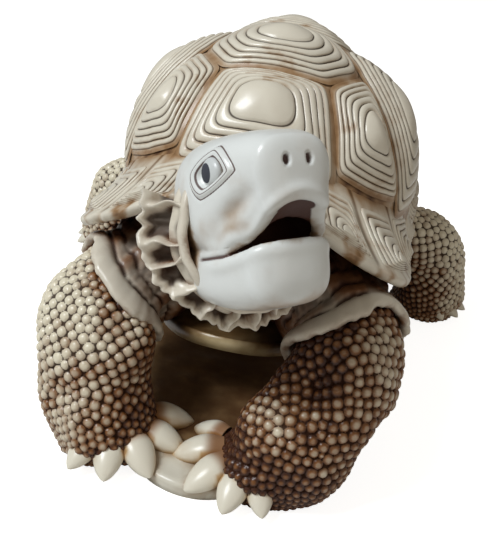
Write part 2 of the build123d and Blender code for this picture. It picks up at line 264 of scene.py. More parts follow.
@contextmanager
def reshaped(mesh):
    """A mesh opened for editing, and written back."""
    shape = bmesh.new()
    shape.from_mesh(mesh)
    yield shape
    shape.to_mesh(mesh)
    shape.free()


def linked(name, data):
    """A new object in the scene."""
    thing = bpy.data.objects.new(name, data)
    bpy.context.collection.objects.link(thing)
    return thing


def finished(clay, name, paint, slot, *nodes):
    """Makes a piece of the clay, merges its doubles, and puts it in place of the solids it stands for."""
    mesh = bpy.data.meshes.new(name)
    mesh.from_pydata([point * MM for point in clay.points], [], clay.faces)
    for mask, values in clay.masks.items():
        mesh.attributes.new(mask, "FLOAT", "POINT").data.foreach_set("value", values)
    with reshaped(mesh) as shape:
        bmesh.ops.remove_doubles(shape, verts=shape.verts, dist=0.004 * MM)
        bmesh.ops.dissolve_degenerate(shape, edges=shape.edges, dist=0.002 * MM)
    return shown(mesh, name, paint, slot, *nodes)


def shown(mesh, name, paint, slot, *nodes):
    """Puts a finished mesh into the scene as a piece of the object."""
    mesh.shade_smooth()
    mesh.materials.clear()
    mesh.materials.append(paint)
    piece = linked(name, mesh)
    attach(piece, "root")
    if nodes:
        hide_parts(*nodes)
    made.append(piece)
    return piece


def colour(red, green, blue):
    """Screen colour, 0 to 255, as the linear colour that a shader takes."""
    return tuple((value / 255) ** 2.2 for value in (red, green, blue)) + (1.0,)


class Paint:
    """Small helper that lays out shader nodes in a tree."""

    def __init__(self, tree):
        self.tree = tree

    def fill(self, sockets, values):
        """Links an output to each of some inputs, or sets a plain value."""
        for name, value in values.items():
            if isinstance(value, bpy.types.NodeSocket):
                self.tree.links.new(value, sockets[name])
            else:
                sockets[name].default_value = value

    def node(self, kind, inputs=None, **options):
        """Adds a node, sets its options and fills its inputs."""
        added = self.tree.nodes.new(kind)
        for name, value in options.items():
            setattr(added, name, value)
        self.fill(added.inputs, inputs or {})
        return added

    def math(self, operation, *values):
        """Result of an arithmetic node."""
        return self.node("ShaderNodeMath", dict(enumerate(values)), operation=operation).outputs[0]

    def step(self, value, low, high):
        """0 where the value is at low, 1 at high, with a soft step between."""
        given = {"Value": value, "From Min": low, "From Max": high}
        return self.node("ShaderNodeMapRange", given, interpolation_type="SMOOTHSTEP").outputs["Result"]

    def mix(self, share, first, second):
        """Colour between two colours."""
        given = {"Factor": share, "A": first, "B": second}
        return self.node("ShaderNodeMix", given, data_type="RGBA").outputs["Result"]

    def mask(self, name):
        """A piece's own stain mask."""
        return self.node("ShaderNodeAttribute", attribute_name=name).outputs["Fac"]

    def grain(self, scale, detail):
        """Cloudy pattern fixed to the object."""
        place = self.node("ShaderNodeTexCoord").outputs["Object"]
        given = {"Vector": place, "Scale": scale, "Detail": detail}
        return self.node("ShaderNodeTexNoise", given).outputs["Fac"]


def antique_wash():
    """Brown wash that was wiped off the high places and stayed in the hollows and grooves, together with
    painted shade that darkens the ivory in the same way.
    """
    group = bpy.data.node_groups.new("antique_wash", "ShaderNodeTree")
    for way, kind, names in (
        ("INPUT", "NodeSocketColor", ("Ivory", "Stain", "Deep", "Line")),
        ("INPUT", "NodeSocketFloat", ("Groove", "Hollow")),
        ("OUTPUT", "NodeSocketColor", ("Color",)),
        ("OUTPUT", "NodeSocketFloat", ("Roughness", "Gloss")),
        ("OUTPUT", "NodeSocketVector", ("Normal",)),
    ):
        for name in names:
            group.interface.new_socket(name, in_out=way, socket_type=kind)
    paint = Paint(group)
    given = paint.node("NodeGroupInput").outputs
    cloud = paint.math("SUBTRACT", paint.grain(260.0, 4.0), 0.5)
    fine = paint.grain(2600.0, 2.0)
    # The wash and the painted shade together darken the ivory towards the stain and the deepest stain.
    washed_and_shaded = paint.math("MULTIPLY_ADD", cloud, 0.55, given["Hollow"])
    tone = paint.mix(paint.step(washed_and_shaded, 0.02, 0.62), given["Ivory"], given["Stain"])
    tone = paint.mix(paint.step(washed_and_shaded, 0.45, 0.95), tone, given["Deep"])
    lined = paint.math("MULTIPLY", paint.step(given["Groove"], 0.15, 0.9), 0.92)
    rough = paint.math("MULTIPLY_ADD", lined, 0.45, 0.32)
    bump = paint.node("ShaderNodeBump", {"Strength": 0.12, "Distance": 0.0001, "Height": fine})
    result = {
        "Color": paint.mix(lined, tone, given["Line"]),
        "Roughness": paint.math("MULTIPLY_ADD", given["Hollow"], 0.2, rough),
        "Gloss": paint.math("MULTIPLY_ADD", lined, -0.45, 0.45),
        "Normal": bump.outputs["Normal"],
    }
    paint.node("NodeGroupOutput", result)
    return group


def resin(name, ivory, stain, deep, line, groove, hollow_gain):
    """Ivory-coloured cast resin with the brown wash and painted shade; groove makes the line mask from the
    paint helper.
    """
    material = bpy.data.materials.new(name)
    material.use_nodes = True
    paint = Paint(material.node_tree)
    given = {
        "Ivory": colour(*ivory),
        "Stain": colour(*stain),
        "Deep": colour(*deep),
        "Line": colour(*line),
        "Groove": groove(paint),
        # Hollows, and each piece's own mask of stain and painted shade, darken the colour
        "Hollow": paint.math("MULTIPLY_ADD", paint.mask("hollow"), hollow_gain, paint.mask("shade")),
    }
    wash = paint.node("ShaderNodeGroup", given, node_tree=WASH).outputs
    looks = {
        "Base Color": wash["Color"],
        "Roughness": wash["Roughness"],
        "Normal": wash["Normal"],
        "IOR": 1.5,
        "Specular IOR Level": 0.25,
        "Coat Weight": wash["Gloss"],
        "Coat Roughness": 0.22,
    }
    paint.fill(material.node_tree.nodes["Principled BSDF"].inputs, looks)
    return material


def no_groove(paint):
    """No lines at all."""
    return 0.0


def plain_groove(paint):
    """Grooves as they were carved."""
    return paint.mask("groove")


def bead_gaps(paint):
    """Dark gaps round the pebble scales."""
    return paint.step(paint.mask("bead"), 0.79, 1.03)


def face_lines(paint):
    """Carved lines round the eyes, and the dark of the nostrils and the mouth, partly painted shade."""
    lid = paint.mask("lid")
    lines = 0.0
    for place, width in ((1.0, 0.09), (1.3, 0.05), (1.66, 0.07)):
        near = paint.math("ABSOLUTE", paint.math("SUBTRACT", lid, place))
        lines = paint.math("MAXIMUM", lines, paint.step(near, width, width * 0.3))
    lines = paint.math("MULTIPLY", lines, 0.8)
    return paint.math("MAXIMUM", lines, paint.mask("dark"))


def eye_pupil(paint):
    """Dark round pupil."""
    return paint.step(paint.mask("pupil"), 1.06, 0.94)


def claw_roots(paint):
    """Brown that stayed round the roots of the claws."""
    return paint.math("MULTIPLY", paint.mask("groove"), 0.85)


# Paints: ivory, stain, deepest stain, lines, the mask of the lines, how much a hollow is darkened; the stain
# colours paint both the brown wash and painted shade
WASH = antique_wash()
PAINTS = {
    "shell": ((216, 209, 193), (152, 118, 82), (72, 42, 26), (56, 42, 30), plain_groove, 0.7),
    "skin": ((212, 204, 188), (124, 86, 58), (56, 27, 18), (50, 28, 18), plain_groove, 0.7),
    "bead": ((222, 213, 190), (128, 84, 46), (66, 35, 18), (52, 29, 15), bead_gaps, 0.55),
    "head": ((219, 222, 220), (158, 130, 98), (92, 50, 34), (66, 26, 16), face_lines, 0.6),
    "eye": ((200, 204, 204), (170, 158, 138), (110, 80, 60), (8, 13, 42), eye_pupil, 0.3),
    "claw": ((226, 220, 203), (184, 150, 104), (108, 66, 38), (138, 92, 52), claw_roots, 0.7),
    "base": ((212, 207, 192), (150, 120, 84), (88, 62, 40), (84, 52, 32), no_groove, 0.5),
    # belly: darker, yellower ivory with a strong hollow gain, its own tone together with painted shade under
    # the shell
    "belly": ((196, 178, 138), (120, 92, 58), (54, 33, 20), (84, 52, 32), no_groove, 1.3),
    # recess: dark brown for the trunk and neck deep in the shell's openings, stain together with painted shade
    "recess": ((132, 92, 64), (96, 60, 40), (64, 34, 22), (48, 25, 16), plain_groove, 1.0),
}
PAINT = {name: resin(name + "_paint", *row) for name, row in PAINTS.items()}


def on_dome(x, angle):
    """A point of the wide dome, from the shell's centre; angle is forwards from the top."""
    share = sqrt(1 - (x / (SHELL_RADIUS * NARROWING)) ** 2)
    ahead = SHELL_RADIUS * share * sin(radians(angle))
    return Vector((x / NARROWING, -ahead, SHELL_RADIUS * share * cos(radians(angle))))


def out_from_dome(direction, height):
    """Place over the narrowed dome in a direction from its centre."""
    point = direction.normalized() * (SHELL_RADIUS + height)
    return SHELL_CENTRE + Vector((point.x * NARROWING, point.y, point.z))


def outline_columns(corners, spacing):
    """Points along an outline, closer together at its corners."""
    columns = []
    for near, far in sides(corners):
        count = max(5, round((far - near).length / spacing))
        columns += [near.lerp(far, 0.5 - 0.5 * cos(pi * i / count)) for i in range(count)]
    return columns


def outline_share(corners, point, power):
    """Share of the way from the focus to a rounded outline; a low power rounds the corners more."""
    total = 0.0
    for near, far in sides(corners):
        side = far - near
        out = Vector((side.y, -side.x))
        total += max(out.dot(point) / out.dot(near), 0.0) ** power
    return total ** (1 / power)


def ring_profile(rings, boss_share, step, bulge):
    """Rows of a scute from its boss outwards: share of the outline, height, groove, brown of the valley."""
    rows = []
    for share in (0.0, 0.12, 0.24, 0.36, 0.48, 0.6, 0.72, 0.83, 0.91, 0.965):
        height = rings * step + bulge * (1 - share**2) - 0.1 * ease(0.85, 0.97, share)
        rows.append((boss_share * share, height, 0.0, 0.0))
    width = (0.9 - boss_share) / rings
    for ring in range(rings):
        start = boss_share + ring * width
        level = (rings - 1 - ring) * step
        brown = 0.1 + 0.16 * ring / rings
        # Carved groove, then a rounded step down to the next one
        rows += [
            (start, level + 0.3 * step - 0.18, 1.0, brown),
            (start + 0.09 * width, level + 0.3 * step - 0.06, 0.45, brown),
            (start + 0.22 * width, level + 0.3 * step + 0.05, 0.0, brown),
            (start + 0.42 * width, level + 0.3 * step + 0.09, 0.0, 0.0),
            (start + 0.66 * width, level + 0.2 * step + 0.07, 0.0, 0.0),
            (start + 0.86 * width, level + 0.02, 0.0, 0.0),
            (start + 0.95 * width, level - 0.1, 0.35, brown),
        ]
    # Seam round the scute
    rows += [(0.9, -0.26, 0.7, 0.3), (0.915, -0.3, 0.1, 0.34), (0.96, -0.42, 0.0, 0.48), (1.0, -0.5, 0.12, 0.5)]
    return rows


def faces_up(lift):
    """Whether a flat turn to the left stays one, seen from above, where lift carries it."""
    middle = lift(Vector((0, 0)), 0)
    right = lift(Vector((0.1, 0)), 0) - middle
    ahead = lift(Vector((0, 0.1)), 0) - middle
    return right.cross(ahead).dot(lift(Vector((0, 0)), 1) - middle) > 0


def carve_scute(clay, corners, lift, rings, boss_share, step, bulge, seed):
    """Lays one ringed scute; corners are flat places round its focus, lift carries them onto the shell."""
    if not turns_left(corners):
        corners = corners[::-1]
    columns = outline_columns(corners, OUTLINE_SPACING)
    if faces_up(lift):
        columns = columns[::-1]

    def place(ring, column):
        share, height, groove, brown = ring
        power = blend(2.0, 15.0, ease(0.25, 1.0, share))
        point = column / outline_share(corners, column, power)
        heading = column.normalized() * 1.6
        wander = noise_at(heading.x + seed * 7.1, heading.y, share * 2.5)
        wander *= 0.03 * share * ease(1.0, 0.9, share)
        spot = point * (share + wander)
        rough = 0.07 * noise_at(spot.x * 0.35, spot.y * 0.35, seed * 3.7)
        worn = 1 - 0.6 * ease(0.3, 0.95, column.normalized().y)
        return lift(spot, height + rough), {"groove": groove * worn, "shade": brown}

    clay.add_skin(ring_profile(rings, boss_share, step, bulge), columns, place)


def dome_scutes():
    """Outline and boss of each vertebral and costal scute."""
    ends = [SEAM_FRONT, *VERTEBRAL_SEAMS, VERTEBRAL_CORNERS[-1]]
    scutes = []
    for i, boss_angle in enumerate(VERTEBRAL_BOSSES):
        left = [ends[i], ends[i + 1]]
        if 0 < i < len(VERTEBRAL_BOSSES) - 1:
            left.insert(1, VERTEBRAL_CORNERS[i - 1])
        scutes.append((left + [mirrored(corner) for corner in reversed(left)], (0, boss_angle)))
    seams, corners, feet = VERTEBRAL_SEAMS, VERTEBRAL_CORNERS, COSTAL_FEET
    flank = [
        [seams[0], corners[0], feet[0], *COSTAL_EDGE_FRONT, SEAM_FRONT],
        [corners[0], seams[1], corners[1], feet[1], COSTAL_EDGE_MIDDLE, feet[0]],
        [corners[1], seams[2], corners[2], feet[2], COSTAL_EDGE_THIRD, feet[1]],
        [corners[2], seams[3], corners[3], COSTAL_EDGE_REAR, feet[2]],
    ]
    for outline, boss in zip(flank, COSTAL_BOSSES):
        scutes.append((outline, boss))
        scutes.append(([mirrored(point) for point in outline], mirrored(boss)))
    return scutes


def scute_shield():
    """The ringed scutes that cover the dome."""
    clay = Clay()
    for seed, (outline, boss) in enumerate(dome_scutes()):
        top = on_dome(*boss)
        east = Vector((0, 1, 0)).cross(top).normalized()
        north = top.cross(east).normalized()
        corners = []
        for corner in outline:
            point = on_dome(*corner)
            point = point * (SHELL_RADIUS**2 / point.dot(top)) - top
            corners.append(Vector((point.dot(east), point.dot(north))))

        def lift(point, height):
            return out_from_dome(top + east * point.x + north * point.y, height)

        carve_scute(clay, corners, lift, DOME_RINGS, 0.36, 0.33, 0.75, seed)
    return clay


def rim_points(bearing):
    """The rim's root on the dome and its outer edge, as distances out and up."""
    ahead = abs(cos(radians(bearing / 2)))
    behind = abs(sin(radians(bearing / 2)))
    seam = RIM_ROOT_HEIGHT + 14.8 * ahead**6 + 4.5 * behind**8
    edge = RIM_EDGE_HEIGHT + 18.5 * ahead**11.6 + 8.0 * behind**4
    across = abs(sin(radians(bearing)))
    lengthways = cos(radians(bearing))
    half_width = RIM_HALF_WIDTH / NARROWING
    reach = RIM_FRONT_REACH
    power = RIM_FRONT_SQUARENESS
    if lengthways <= 0:
        half_width = (RIM_HALF_WIDTH + RIM_REAR_FLARE * lengthways**2) / NARROWING
        reach = RIM_REAR_REACH
        power = RIM_REAR_SQUARENESS
    out = ((across / half_width) ** power + (abs(lengthways) / reach) ** power) ** (-1 / power)
    dome_reach = sqrt(SHELL_RADIUS**2 - (seam - SHELL_CENTRE.z) ** 2)
    return Vector((dome_reach - 0.9, seam)), Vector((out, edge))


def on_rim(bearing, share, height):
    """Place over the rim's top at a bearing from the front and a share of the way from root to edge."""
    root, edge = rim_points(bearing)
    across = edge - root
    rise = Vector((-across.y, across.x)).normalized()
    if rise.y < 0:
        rise = -rise
    sag = RIM_SAG * sin(pi * min(max(share, 0.0), 1.0))
    point = root + across * share + rise * (height - sag)
    turn = radians(bearing)
    return Vector((point.x * sin(turn) * NARROWING, SHELL_CENTRE.y - point.x * cos(turn), point.y))


def seam_distance(bearing):
    """Distance along the rim, in degrees, to the nearest seam between marginal scutes."""
    return min(abs(abs((bearing + 180) % 360 - 180) - seam) for seam in MARGINAL_BEARINGS)


def rim_skin():
    """The flared rim with its thick rounded lip."""
    thick = RIM_THICKNESS
    profile = [(share, 0.0) for share in (0.0, 0.15, 0.3, 0.45, 0.6, 0.75)]
    profile.append((0.88, 0.05))
    for share in shares(8):
        turn = pi * (0.5 - share)
        profile.append((0.955 + 0.055 * cos(turn), thick * (0.5 * sin(turn) - 0.5) + 0.1))
    profile += [(0.85, -thick), (0.6, -thick), (0.3, -thick), (0.0, -thick - 0.6)]
    count = 480

    def place(step, column):
        share, height = step
        bearing = 360 * column / count
        near = seam_distance(bearing)
        notch = peak(near, 0, 1)
        scallop = 0.02 * ease(0.0, 8.0, near) - 0.03 * notch
        knob = 0.12 * noise_at(column * 0.12, share * 4, 0.5)
        cut = 0.35 * notch * ease(0.2, 0.5, share)
        root_brown = 0.45 * ease(0.25, 0.02, share)
        # Painted shade on the underside of the rim
        under_shade = 0.7 * ease(-0.55, -1.0, height / thick) * ease(1.0, 0.88, share)
        stains = {
            "groove": 0.6 * notch * ease(1.02, 0.9, share),
            "shade": root_brown + 0.25 * notch + under_shade,
        }
        return on_rim(bearing, share * (1 + scallop), height + knob - cut), stains

    clay = Clay().add_skin(profile, range(count), place, turned=True)
    for first, last in zip(MARGINAL_BEARINGS, MARGINAL_BEARINGS[1:]):
        for side in (1, -1):
            carve_marginal(clay, first, last, side)
    return clay


def carve_marginal(clay, first, last, side):
    """Nested rings of one marginal scute, drawn round a focus near its lower rear corner."""
    middle = (first + last) / 2
    root, edge = rim_points(middle)
    length = (edge - root).length
    spread = radians(last - first) * edge.x
    focus = Vector((0.62, 0.78))
    flat = []
    for across, down in ((0.05, 0.10), (0.95, 0.10), (0.97, 0.9), (0.03, 0.9)):
        flat.append(Vector(((across - focus.x) * spread, (down - focus.y) * length)))

    def lift(point, height):
        bearing = blend(first, last, focus.x + point.x / spread)
        return on_rim(side * bearing, focus.y + point.y / length, height + 0.1)

    carve_scute(clay, flat, lift, MARGINAL_RINGS, 0.18, 0.2, 0.15, first + 20 * side)


def dome_wall():
    """The dome under the scutes and its hollow inside, open below."""
    profile = [(share, -0.75) for share in shares(24)]
    profile += [(share, -SHELL_WALL) for share in reversed(shares(24))]
    count = 120

    def place(step, column):
        share, height = step
        bearing = 360 * column / count
        root, edge = rim_points(bearing)
        low = max(edge.y, 0.5 * (edge.y + root.y)) - 2.2
        drop = blend(0.0, pi / 2 - atan2(low - SHELL_CENTRE.z, SHELL_RADIUS), share)
        turn = radians(-bearing)
        direction = Vector((sin(drop) * sin(turn), -sin(drop) * cos(turn), cos(drop)))
        return out_from_dome(direction, height), {"shade": 0.45}

    return Clay().add_skin(profile, range(count), place)


def curve_point(bends, share):
    """Place and heading on a curve with four bends."""
    a, b, c, d = (Vector(bend) for bend in bends)
    rest = 1 - share
    place = a * rest**3 + b * (3 * rest**2 * share) + c * (3 * rest * share**2) + d * share**3
    heading = (b - a) * rest**2 + (c - b) * (2 * rest * share) + (d - c) * share**2
    return place, heading.normalized()


def limb_frame(bends, share):
    """Centre of a limb at a share of its length, and two directions across it."""
    root, first_bend, foot = (Vector(bends[i]) for i in (0, 1, 3))
    side = (first_bend - root).cross(foot - root).normalized()
    place, heading = curve_point(bends, share)
    across = (side - heading * side.dot(heading)).normalized()
    return place, across, heading.cross(across)


def limb_rows(bends, radii, start, end, rows, columns):
    """Rings of points round a limb, the first nearest the body."""
    rings = []
    for row in shares(rows - 1):
        share = blend(start, end, row)
        place, across, over = limb_frame(bends, share)
        radius = along(radii, share)
        rings.append([place + (across * cos(turn) + over * sin(turn)) * radius for turn in turns(columns)])
    return rings


def foot_place(bends, bearings, circle):
    """Root and heading of each claw, fanned round a foot; outwards bearings are positive."""
    foot = Vector(bends[-1])
    side = 1 if foot.x > 0 else -1
    places = []
    for bearing in bearings:
        out = Vector((side * sin(radians(bearing)), -cos(radians(bearing)), 0))
        places.append((Vector((foot.x, foot.y, CLAW_ROOT_HEIGHT)) + out * circle, out))
    return places


def spread_beads(points, sizes, seed):
    """Chooses pebble places among a skin's points: large ones packed from one end, small ones in the gaps."""
    chance = Random(seed)
    cells = {}
    beads = []
    cell_size = 2.0

    def cell_of(point):
        return tuple(int(value // cell_size) for value in point)

    def room(point, radius):
        across, along_y, up = cell_of(point)
        for step in product((-1, 0, 1), repeat=3):
            cell = (across + step[0], along_y + step[1], up + step[2])
            for other, other_radius in cells.get(cell, ()):
                if (other - point).length < (radius + other_radius) * 0.96:
                    return False
        return True

    for size in (1.0, 0.8, 0.58):
        for point in points:
            radius = size * sizes(point) * chance.uniform(0.94, 1.04)
            if room(point, radius):
                cells.setdefault(cell_of(point), []).append((point, radius))
                beads.append((point, radius))
    return beads


def beaded(points, normals, sizes, height, seed):
    """Raises pebble scales; returns the points, how far each lies from its scale's middle, and tints."""
    beads = spread_beads(points, sizes, seed)
    tree = kdtree.KDTree(len(beads))
    for i, (point, radius) in enumerate(beads):
        tree.insert(point, i)
    tree.balance()
    raised = []
    gaps = []
    tints = []
    for point, normal in zip(points, normals):
        found = sorted((distance / beads[i][1], i) for place, i, distance in tree.find_n(point, 6))
        near = found[0][0]
        middle, radius = beads[found[0][1]]
        # Partly round, partly drawn straight along the line shared with the next scale
        shared = 2 * near / (near + found[1][0])
        gap = blend(near, shared, 0.65)
        dome = sqrt(max(1 - min(gap, 1.0) ** 2.6, 0.0))
        raised.append(point + normal * (height * (0.35 + 0.95 * radius) * (dome - 0.4)))
        gaps.append(min(gap, 1.6))
        tints.append(noise.noise(middle * 2.7))
    return raised, gaps, tints


def skin_normals(clay):
    """Outward direction at every point of a skin."""
    normals = [Vector((0, 0, 0)) for point in clay.points]
    for face in clay.faces:
        a, b, c, d = (clay.points[face[i]] for i in (0, 1, 2, -1))
        out = (c - a).cross(d - b)
        for i in face:
            normals[i] += out
    return [normal.normalized() if normal.length else Vector((0, 0, 1)) for normal in normals]


def swell(points, normals, bulges):
    """Pushes a skin out, or in, round some places: centre, radius, height."""
    for i, point in enumerate(points):
        push = 0.0
        for centre, radius, height in bulges:
            push += height * peak((point - Vector(centre)).length, 0, radius)
        push += 0.5 * noise.noise(point * 0.2)
        points[i] = point + normals[i] * push


def beaded_limb(bends, radii, grid, bulges, toes, brown, seed, bead=PEBBLE_RADIUS):
    """A leg or tail covered in pebble scales, with painted shade: browner on the side turned to the body, away
    from the light above and outside.
    """
    clay = Clay()
    clay.add_rows(limb_rows(bends, radii, 0.04, 1.0, *grid))
    side = -1 if bends[-1][0] < 0 else 1
    swell(clay.points, skin_normals(clay), bulges + [(root, 2.4, 1.2) for root, out in toes])
    normals = skin_normals(clay)
    # Painted shade: skin turned from the light above and outside gets browner, and it gets browner towards the
    # bottom, over the leg's own brown
    lit_side = Vector((0.75 * side, -0.22, 0.6)).normalized()
    shades = []
    for point, normal in zip(clay.points, normals):
        shade = brown + 0.4 * (0.75 - normal.dot(lit_side)) + 0.16 * ease(15.0, 5.0, point.z)
        # Swellings lighter and creases browner: painted highlight on the swellings, stain and painted shade in
        # the creases
        for centre, radius, height in bulges:
            shade -= 0.11 * height * peak((point - Vector(centre)).length, 0, radius)
        shades.append(max(shade, 0.0))
    clay.masks["shade"] = shades

    def sizes(point):
        low = ease(2.0, 11.0, point.z)
        return bead * blend(0.7, 1.0, low) * (1 + 0.22 * noise.noise(point * 0.5))

    clay.points, gaps, tints = beaded(clay.points, normals, sizes, PEBBLE_RISE, seed)
    clay.masks["bead"] = gaps
    for i, (gap, tint) in enumerate(zip(gaps, tints)):
        shades[i] = (shades[i] + 0.22 * tint) * (0.6 + 0.6 * ease(0.3, 0.95, gap))
    return clay


def level_sole(piece, height):
    """Cuts a piece off level and closes the cut."""
    with reshaped(piece.data) as shape:
        cut = bmesh.ops.bisect_plane(
            shape,
            geom=shape.verts[:] + shape.edges[:] + shape.faces[:],
            plane_co=(0, 0, height * MM),
            plane_no=(0, 0, 1),
            clear_inner=True,
            dist=1e-6,
        )
        rim = [edge for edge in cut["geom_cut"] if isinstance(edge, bmesh.types.BMEdge)]
        bmesh.ops.edgenet_fill(shape, edges=rim)


def claw_set(places, length, width):
    """The horn claws of one foot: plump at the root, drawn out to a blunt point and bent down."""
    clay = Clay()
    up = Vector((0, 0, 1))
    widest = 0.36
    sunk = 0.32
    for number, (root, out) in enumerate(places):
        side = out.cross(up)
        size = 1 + 0.12 * sin(2.3 * number + root.x)

        def place(share, turn):
            taper = max(share - widest, 0.0) / (1 - widest)
            girth = blend(0.8, 1.0, ease(0, widest, share)) * (1 - min(taper, 0.995) ** 1.9) ** 0.72
            centre = root + out * (length * size * (share - sunk)) - up * (0.5 + 1.9 * share**1.6)
            ridge = 1 + 0.06 * cos(2 * turn)
            spoke = side * cos(turn) + up * (0.9 * sin(turn))
            point = centre + spoke * (width * size * girth * ridge)
            return point, {"groove": ease(0.58, 0.14, share)}

        clay.add_skin(shares(24), turns(24), place, turned=True)
    return clay


def leg_cuff(bends, radii, start, outer_end, inner_end, seed):
    """Loose fold of skin where a front leg leaves the shell, longer inside, with a rolled pale edge."""
    side = 1 if bends[-1][0] > 0 else -1
    profile = []
    for share in shares(60):
        profile.append((share, 3.2 - 2.0 * ease(0.0, 0.7, share) + 0.9 * ease(0.7, 0.98, share)))
    for share in shares(10)[1:]:
        turn = pi * share
        profile.append((1 + 0.055 * sin(turn), 2.1 - 0.75 * (1 - cos(turn))))
    profile += [(0.94, 0.3), (0.75, 0.1)]
    end_middle, end_across, end_over = limb_frame(bends, outer_end)

    def place(step, turn):
        share, growth = step
        inner = -side * (end_across * cos(turn) + end_over * sin(turn)).x
        end = blend(outer_end, inner_end, ease(-0.8, 0.9, inner))
        fold = noise_at(2.6 * cos(turn) + seed, 2.6 * sin(turn), share * 1.6)
        fold += 0.5 * noise_at(8 * cos(turn) + seed, 8 * sin(turn), share * 2.5)
        along_leg = blend(start, end + 0.02 * fold, share)
        middle, across, over = limb_frame(bends, along_leg)
        out = across * cos(turn) + over * sin(turn)
        wander = share + 0.07 * fold
        crease = max(peak(wander, line, 0.035) for line in (0.42, 0.62, 0.8))
        crease *= ease(0.9, 0.86, share) * ease(-0.7, -0.1, fold)
        ripple = 0.6 * fold * ease(0.0, 0.3, share) * ease(1.15, 0.8, share) - 0.55 * crease
        behind_edge = ease(0.9, 0.7, share)
        # Brown stain behind the pale rolled edge, and painted shade where the fold goes into the shell
        brown = 0.28 * ease(0.9, 0.72, share) + 0.4 * ease(0.35, 0.1, share)
        stains = {
            "groove": max(0.6 * ease(0.0, -0.5, fold) * behind_edge, 0.85 * crease),
            "shade": brown + 0.3 * fold * behind_edge,
        }
        return middle + out * (along(radii, along_leg) + growth + ripple), stains

    return Clay().add_skin(profile, turns(170), place)


# Head sections: distance ahead, half width, top, bottom
SKULL = (
    (-7.6, 6.3, 6.0, -6.0),
    (-5.5, 7.4, 7.3, -6.4),
    (-3.0, 8.1, 8.2, -6.8),
    (0.0, 8.4, 8.6, -6.8),
    (3.0, 8.1, 8.7, -6.4),
    (6.0, 7.1, 8.7, -5.4),
    (8.5, 6.0, 8.5, -3.4),
    (10.5, 4.8, 8.0, -1.2),
)
JAW = (
    (-6.7, 6.0, -1.5, -8.4),
    (-4.0, 7.3, -2.0, -10.6),
    (-1.0, 7.9, -2.4, -11.6),
    (3.0, 7.6, -2.6, -11.9),
    (5.8, 6.5, -2.4, -11.8),
    (8.0, 5.3, -2.2, -11.3),
)

# Lips: distance ahead, heights of the upper and the lower one
LIPS = (
    (4.2, -5.05, -5.25),
    (5.5, -4.75, -5.1),
    (7.0, -3.5, -4.65),
    (8.4, -1.9, -4.15),
    (9.7, -0.5, -3.65),
    (11.0, 0.5, -3.4),
    (12.1, 0.9, -3.3),
    (16.0, 1.2, -3.2),
)
UPPER_LIP = [(ahead, upper) for ahead, upper, lower in LIPS]
LOWER_LIP = [(ahead, lower) for ahead, upper, lower in LIPS]
LIP_DROOP = 2.5
SQUARENESS = 3.0
SNOUT_ROUND = 1.7
JAW_ROUND = 2.8


def section_at(sections, ahead):
    """Half width, middle and half height of a head form at a distance ahead."""
    ahead = min(max(ahead, sections[0][0]), sections[-1][0])
    curves = [[(section[0], section[i]) for section in sections] for i in (1, 2, 3)]
    half, top, bottom = (along_curve(curve, ahead) for curve in curves)
    return half, (top + bottom) / 2, (top - bottom) / 2


def head_form(sections, blunt):
    """Closed form through boxy oval sections, with rounded ends."""
    first = sections[0][0]
    last = sections[-1][0]
    count = 72
    steps = []
    for share in shares(8):
        turn = pi / 2 * share
        steps.append((first - blunt * cos(turn), max(sin(turn), 0.02) ** 0.8))
    steps += [(blend(first, last, share), 1.0) for share in shares(40)[1:-1]]
    for share in shares(8):
        turn = pi / 2 * (1 - share)
        steps.append((last + blunt * cos(turn), max(sin(turn), 0.02) ** 0.7))

    def place(step, turn):
        ahead, share = step
        half, middle, tall = section_at(sections, ahead)
        across = abs(cos(turn)) ** (2 / SQUARENESS) * (1 if cos(turn) > 0 else -1)
        up = abs(sin(turn)) ** (2 / SQUARENESS) * (1 if sin(turn) > 0 else -1)
        return Vector((half * share * across, -ahead, middle + tall * share * up)), {}

    clay = Clay().add_skin(steps, turns(count), place, turned=True)
    clay.faces.append(tuple(range(count - 1, -1, -1)))
    clay.faces.append(tuple(range(len(clay.points) - count, len(clay.points))))
    return clay


def upper_lip(ahead, x):
    """Height of the upper lip, which comes down at the sides of the snout."""
    droop = LIP_DROOP * min(abs(x) / 5.0, 1.0) ** 1.8 * ease(6.0, 9.8, ahead)
    return max(along_curve(UPPER_LIP, ahead) - droop, along_curve(LOWER_LIP, ahead) + 0.2)


def mouth_form():
    """Space between the lips, right across the head, arched at the front."""
    corner = UPPER_LIP[0][0]
    front = UPPER_LIP[-1][0]
    places = [blend(corner, front, share**1.4) for share in shares(16)]
    clay = Clay()
    rows = []
    for x in (-12, -6, -5, -4, -3, -2, -1, 0, 1, 2, 3, 4, 5, 6, 12):
        row = [Vector((x, -ahead, upper_lip(ahead, x))) for ahead in places]
        row += [Vector((x, -ahead, along_curve(LOWER_LIP, ahead))) for ahead in reversed(places)]
        rows.append(row)
    clay.add_rows(rows)
    count = len(rows[0])
    clay.faces.append(tuple(range(count)))
    clay.faces.append(tuple(range(len(clay.points) - 1, len(clay.points) - count - 1, -1)))
    return clay


def rough_object(clay, name):
    """Working object, in millimetres, that is taken away again."""
    mesh = bpy.data.meshes.new(name)
    mesh.from_pydata(clay.points, [], clay.faces)
    with reshaped(mesh) as shape:
        bmesh.ops.recalc_face_normals(shape, faces=shape.faces)
    return linked(name, mesh)


def palate_form():
    """Hollow of the mouth behind the lips."""
    mesh = bpy.data.meshes.new("palate")
    with reshaped(mesh) as shape:
        bmesh.ops.create_uvsphere(shape, u_segments=32, v_segments=20, radius=1.0)
    mesh.transform(Matrix.Translation((0, -5.2, -2.6)) @ Matrix.Diagonal((4.8, 4.6, 2.4, 1)))
    return linked("palate", mesh)


